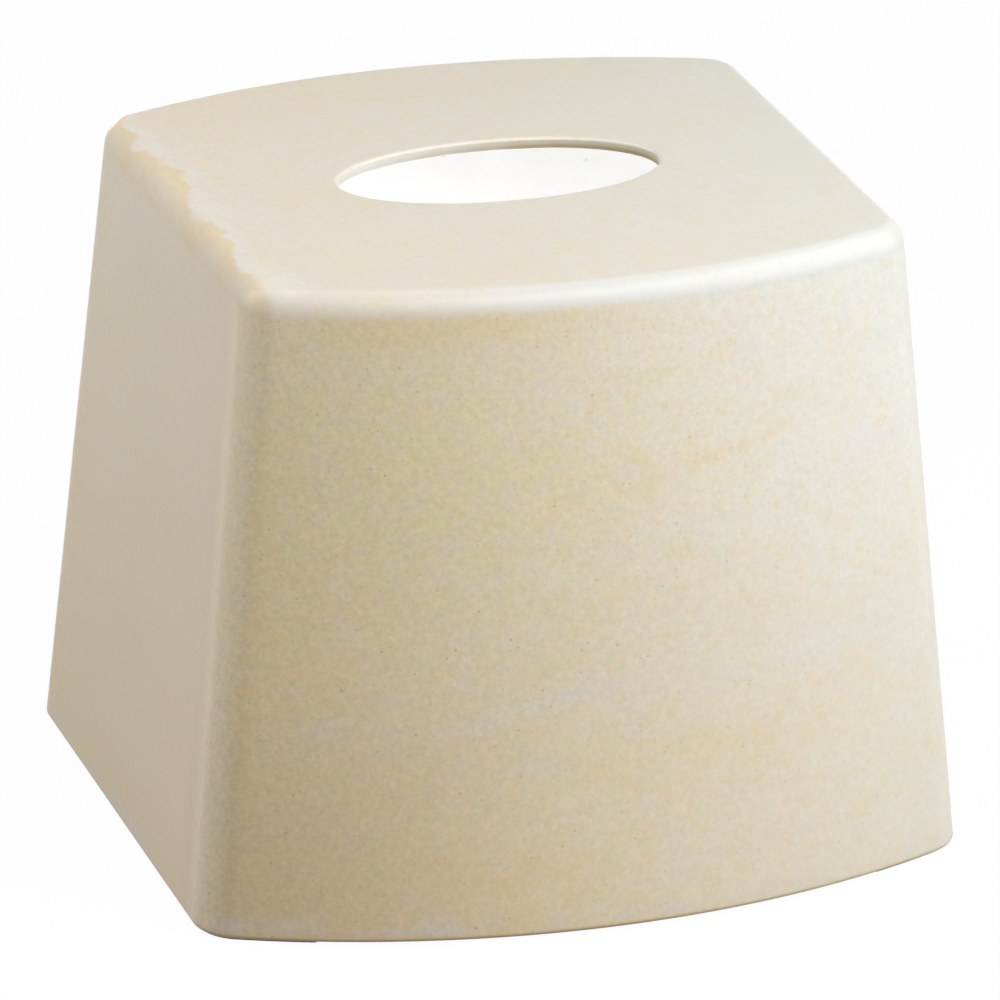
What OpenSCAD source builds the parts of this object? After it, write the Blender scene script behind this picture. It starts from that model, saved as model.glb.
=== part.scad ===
// Tissue box cover for a cube-shaped box, cast in one piece in a stone-effect mix.
// The plan is square, with a bowed front and back wall, flat end walls and round corners.
// All four walls lean in towards the top, the top edge is rolled over, and the tissues
// come up through an oval slot. The cover is open underneath, so that it drops over the
// box, and it stands on four thin soft pads under the corners of its rim.
// Lengths are in millimetres. +Z is up, the front wall faces -Y, and the origin is under
// the middle of the slot on the surface that the pads stand on.

/* [Cover] */
// Width at the rim, from one flat end wall to the other
rim_w = 165; // [150:1:190]
// Depth at the rim, over the crowns of the bowed front and back walls
rim_d = 165; // [150:1:190]
// Height of the shell from its rim to its top
shell_h = 136; // [110:1:170]
// Distance that each wall leans in between the rim and the top
lean = 12.4; // [6:0.1:16]
// Radius of the bow of the front and back walls at the rim
bow_r = 182; // [150:1:320]
// Radius of the upright corners at the rim
rim_corner_r = 10.8; // [8:0.1:20]
// Radius of the upright corners at the top
top_corner_r = 9.2; // [8:0.1:16]

/* [Thickness] */
// Thickness of the four walls
wall = 3.4; // [3:0.1:5]
// Thickness of the top
top_t = 2.8; // [2:0.1:5]

/* [Edges] */
// Width of the rolled edge round the top, seen from above
top_edge_w = 3.4; // [2:0.1:5]
// Height of the rolled edge round the top, seen from a side
top_edge_h = 5.2; // [3:0.1:7]
// Radius of the fillet inside, where the walls meet the top
inner_edge_r = 3; // [1.5:0.1:4]
// Radius of the outer edge of the rim
rim_edge_r = 1.1; // [0.5:0.1:1.2]
// Radius of the inner edge of the rim
rim_inner_edge_r = 0.5; // [0.3:0.1:0.7]

/* [Slot] */
// Length of the oval slot, left to right
slot_w = 69; // [50:0.1:90]
// Width of the oval slot, front to back
slot_d = 36; // [24:0.1:60]
// Radius of the upper lip of the slot
slot_lip_r = 0.8; // [0.4:0.1:1]
// Radius of the lower lip of the slot
slot_lower_lip_r = 0.5; // [0.3:0.1:0.8]

/* [Pads] */
// Thickness of the soft pads under the rim
pad_t = 0.4; // [0.4:0.1:2]
// Length of each leg of a pad, along the rim from the end of the round corner
pad_leg = 16; // [8:1:30]
// Clearance between a pad's sides and the edges of the rim's flat underside
pad_clearance = 0.1; // [0.05:0.05:0.2]

/* [Hidden] */

// Steps that divide one quarter of every ring: bow, corner and half of the end wall
bow_steps = 9;
corner_steps = 7;
end_steps = 8;
quarter_steps = bow_steps + corner_steps + end_steps;

// Steps up a wall and round each kind of edge
wall_steps = 4;
roll_steps = 6;
lip_steps = 4;
rim_steps = 3;
pad_end_steps = 8;

// The least radius of a corner that is drawn inwards, as a share of its own radius
corner_floor_share = 0.15;

// Height of the top over the surface that the pads stand on
top_z = pad_t + shell_h;

// A pad lies on the flat of the rim, between its two rounded edges
pad_outer_inset = rim_edge_r + pad_clearance;
pad_inner_inset = wall - rim_inner_edge_r - pad_clearance;
pad_w = pad_inner_inset - pad_outer_inset;

// The upright distance from the rim to a level, as a share of the shell's height
function level_share(z) = (z - pad_t) / shell_h;

// The four sizes of the outline at level z, drawn in by inset on every side:
// half its width, half its depth, the radius of its bow and the radius of its corners
function outline_sizes(z, inset) =
    let (
        drawn_in = lean * level_share(z) + inset,
        corner_r = rim_corner_r + (top_corner_r - rim_corner_r) * level_share(z)
    )
    [
        rim_w / 2 - drawn_in,
        rim_d / 2 - drawn_in,
        bow_r - drawn_in,
        max(corner_r - inset, corner_r * corner_floor_share)
    ];

// Centre of the bow of the front wall, which is behind it on the line x = 0
function bow_centre(sizes) = [0, sizes[2] - sizes[1]];

// Centre of the front right corner, whose arc touches the bow and the end wall
function corner_centre(sizes) =
    let (
        x = sizes[0] - sizes[3],
        from_bow = sizes[2] - sizes[3]
    )
    [x, bow_centre(sizes).y - sqrt(from_bow * from_bow - x * x)];

// Direction in which the bow and the corner touch, seen from the centre of the bow
function touch_angle(sizes) =
    let (reach = corner_centre(sizes) - bow_centre(sizes))
    atan2(reach.y, reach.x);

// A point at an angle on a circle
function on_circle(centre, r, angle) = centre + r * [cos(angle), sin(angle)];

// Points along an arc, from angle a to angle b
function arc(centre, r, a, b, steps) =
    [for (i = [0 : steps]) on_circle(centre, r, a + (b - a) * i / steps)];

// A list without its last point
function all_but_last(points) = [for (i = [0 : len(points) - 2]) points[i]];

// One quarter of the outline, from the middle of the front wall anticlockwise to the
// middle of the right end wall: the bow, then the corner, then the flat wall
function outline_quarter(z, inset) =
    let (
        sizes = outline_sizes(z, inset),
        corner = corner_centre(sizes),
        angle = touch_angle(sizes)
    )
    concat(
        all_but_last(arc(bow_centre(sizes), sizes[2], -90, angle, bow_steps)),
        all_but_last(arc(corner, sizes[3], angle, 0, corner_steps)),
        [for (i = [0 : end_steps]) [sizes[0], corner.y * (1 - i / end_steps)]]
    );

// One quarter of the slot's oval, grown by grow on every side
function oval_quarter(grow) =
    [for (i = [0 : quarter_steps])
        let (angle = -90 + 90 * i / quarter_steps)
        [(slot_w / 2 + grow) * cos(angle), (slot_d / 2 + grow) * sin(angle)]];

// A whole ring at height z from its front right quarter, mirrored into the other three
function ring(quarter, z) =
    let (n = len(quarter) - 1)
    concat(
        [for (i = [0 : n - 1]) [quarter[i].x, quarter[i].y, z]],
        [for (i = [n : -1 : 1]) [quarter[i].x, -quarter[i].y, z]],
        [for (i = [0 : n - 1]) [-quarter[i].x, -quarter[i].y, z]],
        [for (i = [n : -1 : 1]) [-quarter[i].x, quarter[i].y, z]]
    );

function wall_ring(z, inset) = ring(outline_quarter(z, inset), z);
function slot_ring(z, grow) = ring(oval_quarter(grow), z);

// A quarter turn in steps
function quarter_turn(steps) = [for (i = [0 : steps]) 90 * i / steps];

// The rings of the shell's whole skin. They go from the outer edge of the rim up the
// outside, over the rolled edge, in to the slot and down through it, out under the top,
// round the inner fillet and down the inside to the inner edge of the rim.
function skin_rings() =
    let (
        under_top_z = top_z - top_t,
        outer_low_z = pad_t + rim_edge_r,
        outer_high_z = top_z - top_edge_h,
        inner_low_z = pad_t + rim_inner_edge_r,
        inner_high_z = under_top_z - inner_edge_r
    )
    concat(
        [for (a = quarter_turn(rim_steps))
            wall_ring(pad_t + rim_edge_r * (1 - cos(a)), rim_edge_r * (1 - sin(a)))],
        [for (i = [1 : wall_steps - 1])
            wall_ring(outer_low_z + (outer_high_z - outer_low_z) * i / wall_steps, 0)],
        [for (a = quarter_turn(roll_steps))
            wall_ring(outer_high_z + top_edge_h * sin(a), top_edge_w * (1 - cos(a)))],
        [for (a = quarter_turn(lip_steps))
            slot_ring(top_z - slot_lip_r * (1 - cos(a)), slot_lip_r * (1 - sin(a)))],
        [for (a = quarter_turn(rim_steps))
            slot_ring(under_top_z + slot_lower_lip_r * (1 - sin(a)),
                slot_lower_lip_r * (1 - cos(a)))],
        [for (a = quarter_turn(lip_steps))
            wall_ring(under_top_z - inner_edge_r * (1 - cos(a)),
                wall + inner_edge_r * (1 - sin(a)))],
        [for (i = [1 : wall_steps - 1])
            wall_ring(inner_high_z + (inner_low_z - inner_high_z) * i / wall_steps, wall)],
        [for (a = quarter_turn(rim_steps))
            wall_ring(pad_t + rim_inner_edge_r * (1 - sin(a)),
                wall - rim_inner_edge_r * (1 - cos(a)))]
    );

// Closed solid through a loop of rings with as many points each, every ring joined to
// the next by two triangles for each of its points and the last ring joined to the first
module ring_solid(rings) {
    n = len(rings[0]);
    m = len(rings);
    polyhedron(
        points = [for (one = rings) for (point = one) point],
        faces = [
            for (r = [0 : m - 1])
            for (k = [0 : n - 1])
            let (
                here = r * n,
                above = ((r + 1) % m) * n,
                next = (k + 1) % n
            )
            for (face = [
                [here + k, above + k, above + next],
                [here + k, above + next, here + next]
            ]) face
        ],
        convexity = 6
    );
}

// The cast shell: walls, rolled edge, top and slot in one closed skin
module cover_shell() {
    color("antiquewhite") ring_solid(skin_rings());
}

// Points of the rim's line round the front right corner, drawn in by inset: a leg along
// the bow, the corner, and a leg along the end wall
function pad_line(inset) =
    let (
        sizes = outline_sizes(pad_t, inset),
        corner = corner_centre(sizes),
        angle = touch_angle(sizes),
        leg_angle = pad_leg / bow_r * 180 / PI
    )
    concat(
        all_but_last(arc(bow_centre(sizes), sizes[2], angle - leg_angle, angle, bow_steps)),
        arc(corner, sizes[3], angle, 0, corner_steps),
        [[sizes[0], corner.y + pad_leg]]
    );

// Outline of the front right pad: its outer side, a round end, its inner side turned
// back, and the other round end
function pad_outline() =
    let (
        outer = pad_line(pad_outer_inset),
        inner = pad_line(pad_inner_inset),
        n = len(outer) - 1,
        start = (outer[0] + inner[0]) / 2,
        end = (outer[n] + inner[n]) / 2,
        facing = outer[0] - inner[0],
        start_angle = atan2(facing.y, facing.x)
    )
    concat(
        outer,
        [for (i = [1 : pad_end_steps - 1]) on_circle(end, pad_w / 2, 180 * i / pad_end_steps)],
        [for (i = [n : -1 : 0]) inner[i]],
        [for (i = [1 : pad_end_steps - 1])
            on_circle(start, pad_w / 2, start_angle + 180 + 180 * i / pad_end_steps)]
    );

// One pad, mirrored into its own corner: left and rear are 1 where it lies there, or 0
module corner_pad(left, rear) {
    mirror([left, 0, 0])
        mirror([0, rear, 0])
            linear_extrude(height = pad_t)
                polygon(pad_outline());
}

// The four die-cut pads that keep the rim off the vanity top
module pad_front_left() {
    color("dimgray") corner_pad(1, 0);
}

module pad_front_right() {
    color("dimgray") corner_pad(0, 0);
}

module pad_rear_left() {
    color("dimgray") corner_pad(1, 1);
}

module pad_rear_right() {
    color("dimgray") corner_pad(0, 1);
}

cover_shell();
pad_front_left();
pad_front_right();
pad_rear_left();
pad_rear_right();
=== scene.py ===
# %% [markdown]
# # A tissue box cover in cream cast stone
# This lesson dresses a measured model of a tissue box cover: a square, open-bottomed shell
# that drops over a cube of tissues, which come up through an oval slot in its top.
# The measured model arrives as plain solids. Here the shell becomes one smooth numpy surface
# with the slight unevenness of a casting, the soft pads under its corners get rounded edges,
# and every surface gets a finish made of nodes, so nothing is read from a picture.

# %% Load the measured model
import math

import bmesh
import bpy
import numpy as np
from mathutils import Matrix, Vector


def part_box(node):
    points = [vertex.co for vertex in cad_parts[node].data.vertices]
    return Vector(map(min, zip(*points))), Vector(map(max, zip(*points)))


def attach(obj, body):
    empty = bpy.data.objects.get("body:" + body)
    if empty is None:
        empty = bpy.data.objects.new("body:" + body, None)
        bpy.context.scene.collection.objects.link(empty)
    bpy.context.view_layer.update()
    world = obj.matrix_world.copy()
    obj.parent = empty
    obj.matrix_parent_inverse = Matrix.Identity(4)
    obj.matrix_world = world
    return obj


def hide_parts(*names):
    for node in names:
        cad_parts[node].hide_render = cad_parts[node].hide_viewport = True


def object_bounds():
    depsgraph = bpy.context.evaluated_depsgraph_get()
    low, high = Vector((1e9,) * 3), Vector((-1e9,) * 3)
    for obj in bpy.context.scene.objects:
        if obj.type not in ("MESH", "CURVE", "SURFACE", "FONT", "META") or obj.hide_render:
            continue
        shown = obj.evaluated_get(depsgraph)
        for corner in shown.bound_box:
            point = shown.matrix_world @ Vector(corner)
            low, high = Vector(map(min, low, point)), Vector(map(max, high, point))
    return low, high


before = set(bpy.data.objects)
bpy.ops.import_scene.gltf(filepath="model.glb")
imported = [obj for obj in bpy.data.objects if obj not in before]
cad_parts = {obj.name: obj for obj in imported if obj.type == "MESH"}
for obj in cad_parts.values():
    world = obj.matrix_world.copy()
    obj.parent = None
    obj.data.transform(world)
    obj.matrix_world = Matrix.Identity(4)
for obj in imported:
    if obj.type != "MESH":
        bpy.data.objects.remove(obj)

CAD_BOX = [list(corner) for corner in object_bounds()]
MM = 0.001


def mm(*lengths):
    """Lengths in millimetres, as a tuple in metres."""
    return tuple(length * MM for length in lengths)


print("pieces in the measured model:", ", ".join(sorted(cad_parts)))
print("its box in mm:", [[round(v / MM, 1) for v in corner] for corner in CAD_BOX])

# %% [markdown]
# ## The camera
# The object is seen from a little above and from its left, through a long lens, which keeps
# upright edges nearly parallel. A camera can be placed by hand in the viewport, but a product
# view is easier to repeat from four numbers: the direction round the object, the height of
# the eye, the distance, and a slight roll. A small offset then centres it in the picture.

# %% Place the camera
VIEW_AZIMUTH = math.radians(-18.08)
VIEW_ELEVATION = math.radians(21.85)
VIEW_ROLL = math.radians(0.55)
VIEW_DISTANCE = 1877.8 * MM
VIEW_OFFSET = mm(0.88, -5.18)
LENS_WIDTHS = 8.9697
SENSOR_MM = 36.0
CLIP_NEAR, CLIP_FAR = 0.1, 100.0

shell_low, shell_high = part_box("cover_shell")


def direction(azimuth, elevation):
    """The unit vector from the object to an eye or a lamp. The azimuth goes round from the
    front, and the elevation goes up from the table."""
    return Vector((
        math.sin(azimuth) * math.cos(elevation),
        -math.cos(azimuth) * math.cos(elevation),
        math.sin(elevation),
    ))


def add_object(name, data):
    """A new object in the scene, at the origin."""
    made = bpy.data.objects.new(name, data)
    bpy.context.scene.collection.objects.link(made)
    return made


def place_camera():
    """Looks at the middle of the shell from the named direction, rolled about its own axis."""
    back = direction(VIEW_AZIMUTH, VIEW_ELEVATION)
    level = Vector((math.cos(VIEW_AZIMUTH), math.sin(VIEW_AZIMUTH), 0))
    right = Matrix.Rotation(VIEW_ROLL, 3, back) @ level
    up = back.cross(right)
    target = Vector((0, 0, (shell_low.z + shell_high.z) / 2))
    place = target + VIEW_OFFSET[0] * right + VIEW_OFFSET[1] * up + VIEW_DISTANCE * back
    data = bpy.data.cameras.new("product_camera")
    data.sensor_width = SENSOR_MM
    data.lens = SENSOR_MM * LENS_WIDTHS
    data.clip_start, data.clip_end = CLIP_NEAR, CLIP_FAR
    camera = add_object("product_camera", data)
    turned = Matrix((right, up, back)).transposed().to_4x4()
    camera.matrix_world = Matrix.Translation(place) @ turned
    bpy.context.scene.camera = camera
    return camera


camera = place_camera()
print("camera at", [round(v, 3) for v in camera.location], "lens in mm", round(camera.data.lens, 1))

# %% [markdown]
# ## The plan of the shell
# Seen from above, each level of the shell is a square with a bowed front and back, flat ends
# and round corners. It could be drawn with a Bezier curve and lofted, but arcs that touch
# are exact, and a formula gives every level at once. So the outline is a function of two
# numbers: which level it is, and how far it is drawn in. Its sizes are the same as in the
# measured model, and the rest is read from that model's box.

# %% Sizes of the shell
LEAN, BOW_R = mm(12.4, 182)
RIM_CORNER_R, TOP_CORNER_R = mm(10.8, 9.2)
WALL, TOP_T = mm(3.4, 2.8)
TOP_EDGE_W, TOP_EDGE_H = mm(3.4, 5.2)
RIM_EDGE_R, RIM_INNER_EDGE_R, INNER_EDGE_R = mm(1.1, 0.5, 3.0)
SLOT_HALF_W, SLOT_HALF_D = mm(34.5, 18)
SLOT_LIP_R, SLOT_LOWER_LIP_R = mm(0.8, 0.5)

RIM_Z = shell_low.z
TOP_Z = shell_high.z
SHELL_H = TOP_Z - RIM_Z
RIM_HALF_W = shell_high.x + LEAN * RIM_EDGE_R / SHELL_H
RIM_HALF_D = shell_high.y + LEAN * RIM_EDGE_R / SHELL_H
BOW_STEPS, CORNER_STEPS, END_STEPS = 32, 20, 28
QUARTER_STEPS = BOW_STEPS + CORNER_STEPS + END_STEPS
print("rim half width and half depth in mm:", round(RIM_HALF_W / MM, 2), round(RIM_HALF_D / MM, 2))

# %% The outline at many levels at once


def touching_arcs(share, inset):
    """The end wall's place, the two arcs that meet it and each other at the front right, and
    the direction in which those arcs touch. The half width, the half depth and the bow's
    radius shrink by the lean at a share of the height plus an inset. The corner's centre
    lies where a circle touches both the bow and the end wall."""
    drawn_in = LEAN * share + inset
    half_w, half_d, bow_r = RIM_HALF_W - drawn_in, RIM_HALF_D - drawn_in, BOW_R - drawn_in
    corner_r = RIM_CORNER_R + (TOP_CORNER_R - RIM_CORNER_R) * share - inset
    bow_y, corner_x = bow_r - half_d, half_w - corner_r
    corner_y = bow_y - np.sqrt((bow_r - corner_r) ** 2 - corner_x ** 2)
    touch = np.arctan2(corner_y - bow_y, corner_x)
    return half_w, (bow_r, bow_y), (corner_r, corner_x, corner_y), touch


def outline_quarter(z, inset):
    """The front right quarter of the outline, for a column of levels and one of insets: an
    arc about the bow's centre, an arc about the corner's centre and a straight line. The
    result has one row for each level."""
    share = (z - RIM_Z) / SHELL_H
    half_w, (bow_r, bow_y), (corner_r, corner_x, corner_y), touch = touching_arcs(share, inset)
    on_bow = np.linspace(0, 1, BOW_STEPS, endpoint=False)
    on_corner = np.linspace(0, 1, CORNER_STEPS, endpoint=False)
    on_end = np.linspace(0, 1, END_STEPS + 1)
    a = -np.pi / 2 + (touch + np.pi / 2) * on_bow
    b = touch * (1 - on_corner)
    x = [bow_r * np.cos(a), corner_x + corner_r * np.cos(b), half_w + 0 * on_end]
    y = [bow_y + bow_r * np.sin(a), corner_y + corner_r * np.sin(b), corner_y * (1 - on_end)]
    return np.hstack(x), np.hstack(y)


def oval_quarter(grow):
    """The same quarter of the slot's oval, for a column of growths: cosine and sine of an
    even turn, times the half length and the half width."""
    a = np.linspace(-np.pi / 2, 0, QUARTER_STEPS + 1)
    return (SLOT_HALF_W + grow) * np.cos(a), (SLOT_HALF_D + grow) * np.sin(a)


def whole_rings(x, y, z):
    """Rings of points from their front right quarter: mirrored to the back it gives the
    right half, and half a turn of that gives the left."""
    x = np.hstack([x[:, :-1], x[:, :0:-1]])
    y = np.hstack([y[:, :-1], -y[:, :0:-1]])
    x, y = np.hstack([x, -x]), np.hstack([y, -y])
    return np.stack([x, y, np.broadcast_to(z, x.shape)], axis=2)


def columns(z, size):
    """Levels and insets, or levels and growths, as two columns of the same length."""
    z, size = np.broadcast_arrays(np.atleast_1d(z), np.atleast_1d(size))
    return z[:, None].astype(float), size[:, None].astype(float)


def wall_rings(z, inset):
    """Rings that follow the plan outline, one for each level and inset."""
    z, inset = columns(z, inset)
    return whole_rings(*outline_quarter(z, inset), z)


def slot_rings(z, grow):
    """Rings that follow the slot's oval, one for each level and growth."""
    z, grow = columns(z, grow)
    return whole_rings(*oval_quarter(grow), z)


# %% [markdown]
# ## The skin of the casting
# A mould gives a shell no sharp edges: the top edge is rolled over, the slot has a lip, and
# the inside has a fillet. Bevel modifiers could round these, but their width would change
# where edges meet. Instead the whole skin is one profile carried round the plan: up the
# outside, over the roll, in to the slot, down through it, out under the top and down the
# inside. It ends where it began, so it is closed by construction.

# %% Steps along each stretch of the profile
RIM_STEPS, WALL_STEPS, ROLL_STEPS, TOP_STEPS = 6, 60, 14, 26
LIP_STEPS, SLOT_WALL_STEPS, LOWER_LIP_STEPS = 8, 4, 5
CEILING_STEPS, FILLET_STEPS, INNER_WALL_STEPS, INNER_RIM_STEPS = 22, 8, 48, 4


def turn(steps, radius=1.0):
    """A quarter turn in equal steps, without its first: the radius times 1 less the sine,
    which runs out, and the radius times 1 less the cosine, which grows."""
    a = np.linspace(0, np.pi / 2, steps + 1)[1:]
    return radius * (1 - np.sin(a)), radius * (1 - np.cos(a))


def between(first, last, steps):
    """Levels strictly between two levels."""
    return np.linspace(first, last, steps + 1)[1:-1]


def across(first, last, steps):
    """Rings strictly between two rings: the first plus a growing share of the way."""
    return first + (last - first) * between(0, 1, steps)[:, None, None]


# %% The profile, as rings


def skin_of_shell():
    """All rings of the shell's skin and, for each ring, the name of its stretch."""
    under = TOP_Z - TOP_T
    outer_low, outer_high = RIM_Z + RIM_EDGE_R, TOP_Z - TOP_EDGE_H
    inner_low, inner_high = RIM_Z + RIM_INNER_EDGE_R, under - INNER_EDGE_R
    parts = []

    def add(name, rings):
        parts.append((name, rings))

    left, gone = turn(RIM_STEPS, RIM_EDGE_R)
    add("rim", wall_rings(RIM_Z, RIM_EDGE_R))
    add("outside", wall_rings(RIM_Z + gone, left))
    add("outside", wall_rings(between(outer_low, outer_high, WALL_STEPS), 0))
    add("outside", wall_rings(outer_high, 0))
    left, gone = turn(ROLL_STEPS)
    add("outside", wall_rings(TOP_Z - TOP_EDGE_H * left, TOP_EDGE_W * gone))
    edge, lip = wall_rings(TOP_Z, TOP_EDGE_W), slot_rings(TOP_Z, SLOT_LIP_R)
    add("outside", across(edge, lip, TOP_STEPS))
    add("outside", lip)
    left, gone = turn(LIP_STEPS, SLOT_LIP_R)
    add("outside", slot_rings(TOP_Z - gone, left))
    slot_high, slot_low = TOP_Z - SLOT_LIP_R, under + SLOT_LOWER_LIP_R
    add("outside", slot_rings(between(slot_high, slot_low, SLOT_WALL_STEPS), 0))
    add("outside", slot_rings(slot_low, 0))
    left, gone = turn(LOWER_LIP_STEPS, SLOT_LOWER_LIP_R)
    add("inside", slot_rings(under + left, gone))
    lip, edge = slot_rings(under, SLOT_LOWER_LIP_R), wall_rings(under, WALL + INNER_EDGE_R)
    add("inside", across(lip, edge, CEILING_STEPS))
    add("inside", edge)
    left, gone = turn(FILLET_STEPS, INNER_EDGE_R)
    add("inside", wall_rings(under - gone, WALL + left))
    add("inside", wall_rings(between(inner_high, inner_low, INNER_WALL_STEPS), WALL))
    add("inside", wall_rings(inner_low, WALL))
    left, gone = turn(INNER_RIM_STEPS, RIM_INNER_EDGE_R)
    add("rim", wall_rings(RIM_Z + left, WALL - gone))
    names = [name for name, rings in parts for _ in rings]
    return np.concatenate([rings for _, rings in parts]), np.array(names)


skin, stretch = skin_of_shell()
print("rings of the skin:", len(skin), "with", skin.shape[1], "points each")

# %% [markdown]
# ## The slight unevenness of a casting
# A poured shell is never quite flat: its show side swims by a few hundredths of a millimetre,
# which is what makes a long highlight waver, and its inside, which no mould half polished,
# swims more. A displacement modifier could do it, but a sum of plane waves added along the
# normals keeps the measured size, because here the skin only ever moves inwards.

# %% Unevenness from a sum of waves
OUTER_SWIM, INNER_SWIM = mm(0.05, 0.22)
OUTER_WAVES, INNER_WAVES = mm(22, 60), mm(9, 26)
OUTER_SEED, INNER_SEED = 11, 12
WAVE_COUNT, WAVE_REACH = 24, 2.2
CALM_RIM, CALM_FADE = mm(2, 4)
BLEND_ROUNDS = 3


def swim(points, lengths, seed):
    """A smooth field between 0 and 1 at every point: the mean of sine waves that run in
    chance directions, with chance lengths between the two given and chance starts."""
    rng = np.random.default_rng(seed)
    way = rng.normal(size=(WAVE_COUNT, 3))
    way /= np.linalg.norm(way, axis=1, keepdims=True)
    length = rng.uniform(*lengths, WAVE_COUNT)
    start = rng.uniform(0, 2 * np.pi, WAVE_COUNT)
    field = np.zeros(points.shape[:-1])
    for one in range(WAVE_COUNT):
        field += np.sin(points @ way[one] * (2 * np.pi / length[one]) + start[one])
    return np.clip(0.5 + field / (WAVE_REACH * math.sqrt(WAVE_COUNT)), 0, 1)


def ring_normals(rings):
    """Outward normals of a closed stack of rings: the cross product of the step along the
    ring and the step to the next ring."""
    along = np.roll(rings, -1, axis=1) - np.roll(rings, 1, axis=1)
    onward = np.roll(rings, -1, axis=0) - np.roll(rings, 1, axis=0)
    normal = np.cross(along, onward)
    length = np.linalg.norm(normal, axis=2, keepdims=True)
    return normal / np.maximum(length, 1e-12)


def uneven(rings, names):
    """The skin moved inwards by its swim, and not at all at the rim. The depth is blended
    with that of the rings on either side, so that no step shows where the inside begins."""
    outer = swim(rings, OUTER_WAVES, OUTER_SEED) * OUTER_SWIM
    inner = swim(rings, INNER_WAVES, INNER_SEED) * INNER_SWIM
    fade = np.clip((rings[..., 2] - RIM_Z - CALM_RIM) / CALM_FADE, 0, 1)
    depth = np.where((names == "inside")[:, None], inner, outer)
    depth = np.where((names == "rim")[:, None], 0, depth) * fade
    for _ in range(BLEND_ROUNDS):
        depth = (np.roll(depth, 1, axis=0) + 2 * depth + np.roll(depth, -1, axis=0)) / 4
    depth[names == "rim"] = 0
    return rings - ring_normals(rings) * depth[..., None], depth


skin, depth = uneven(skin, stretch)
print("deepest unevenness in mm:", round(float(depth.max()) / MM, 3))

# %% [markdown]
# ## From rings to a mesh
# Rings become a mesh by joining each one to the next with four-sided faces. Calling an
# operator for each face would be slow. The numbers of all corners are worked out as one
# array and handed over with foreach_set, which takes a fraction of a second.

# %% A mesh from a closed stack of rings


def mesh_from_rings(name, rings):
    """A mesh object from rings: face k between ring r and the next takes the points k and
    k + 1 of both. The rings close on themselves, and so does the stack of rings."""
    m, n = rings.shape[:2]
    r, k = np.meshgrid(np.arange(m), np.arange(n), indexing="ij")
    r_next, k_next = (r + 1) % m, (k + 1) % n
    corners = np.stack([r * n + k, r * n + k_next, r_next * n + k_next, r_next * n + k], axis=2)
    mesh = bpy.data.meshes.new(name)
    mesh.vertices.add(m * n)
    mesh.vertices.foreach_set("co", rings.astype(np.float32).ravel())
    mesh.loops.add(corners.size)
    mesh.loops.foreach_set("vertex_index", corners.astype(np.int32).ravel())
    mesh.polygons.add(m * n)
    mesh.polygons.foreach_set("loop_start", np.arange(0, corners.size, 4, dtype=np.int32))
    mesh.update(calc_edges=True)
    mesh.shade_smooth()
    return add_object(name, mesh)


MERGE_DISTANCE = 1e-6


def tidy_seams(made):
    """Merges points that coincide and turns every face outwards."""
    work = bmesh.new()
    work.from_mesh(made.data)
    bmesh.ops.remove_doubles(work, verts=work.verts, dist=MERGE_DISTANCE)
    bmesh.ops.dissolve_degenerate(work, edges=work.edges, dist=MERGE_DISTANCE)
    bmesh.ops.recalc_face_normals(work, faces=work.faces)
    work.to_mesh(made.data)
    work.free()
    made.data.shade_smooth()


shell = mesh_from_rings("cast_shell", skin)
print("faces of the shell:", len(shell.data.polygons))

# %% [markdown]
# ## The corner pads
# Thin self-adhesive pads keep a hard rim off a polished vanity top. Each is cut to follow the
# rim round one corner and has round ends. A cube squashed flat would miss the curve, so the
# pad's outline is drawn with the same arcs as the rim, and rings of that outline, drawn in
# and stepped down, give it its soft die-cut edge. At their last ring the two long sides
# meet on the pad's middle line, where they are merged.

# %% The pads
PAD_LEG, PAD_CLEARANCE, PAD_EDGE_R = mm(16, 0.1, 0.15)
PAD_OUTER_INSET = RIM_EDGE_R + PAD_CLEARANCE
PAD_INNER_INSET = WALL - RIM_INNER_EDGE_R - PAD_CLEARANCE
PAD_HALF_W = (PAD_INNER_INSET - PAD_OUTER_INSET) / 2
PAD_LINE_STEPS, PAD_END_STEPS, PAD_EDGE_STEPS = 20, 12, 4


def pad_line(inset):
    """The rim's line round the front right corner, drawn in by the inset: part of the bow,
    the corner's arc, and a straight leg along the end wall."""
    half_w, (bow_r, bow_y), (corner_r, corner_x, corner_y), touch = touching_arcs(0, inset)
    on_line = np.linspace(0, 1, PAD_LINE_STEPS + 1)
    a = touch - PAD_LEG / BOW_R * (1 - on_line[:-1])
    b = touch * (1 - on_line)
    x = [bow_r * np.cos(a), corner_x + corner_r * np.cos(b), half_w + 0 * on_line[1:]]
    leg_y = corner_y + PAD_LEG * on_line[1:]
    y = [bow_y + bow_r * np.sin(a), corner_y + corner_r * np.sin(b), leg_y]
    return np.stack([np.hstack(x), np.hstack(y)], axis=1)


def pad_outline(drawn_in):
    """The pad's closed outline: its outer side, a half circle, its inner side turned back,
    and another half circle, all drawn in by the same amount."""
    outer = pad_line(PAD_OUTER_INSET + drawn_in)
    inner = pad_line(PAD_INNER_INSET - drawn_in)
    radius = PAD_HALF_W - drawn_in
    swing = np.linspace(0, np.pi, PAD_END_STEPS + 1)[1:-1]
    start, end = (outer[0] + inner[0]) / 2, (outer[-1] + inner[-1]) / 2
    first = outer[0] - inner[0]
    facing = np.arctan2(first[1], first[0]) if radius > 0 else 0
    far_cap = end + radius * np.stack([np.cos(swing), np.sin(swing)], axis=1)
    near = swing + facing + np.pi
    near_cap = start + radius * np.stack([np.cos(near), np.sin(near)], axis=1)
    return np.concatenate([outer, far_cap, inner[::-1], near_cap])


def pad_ring(drawn_in, z):
    """The pad's outline at one height."""
    flat = pad_outline(drawn_in)
    return np.column_stack([flat, np.full(len(flat), z)])


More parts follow.
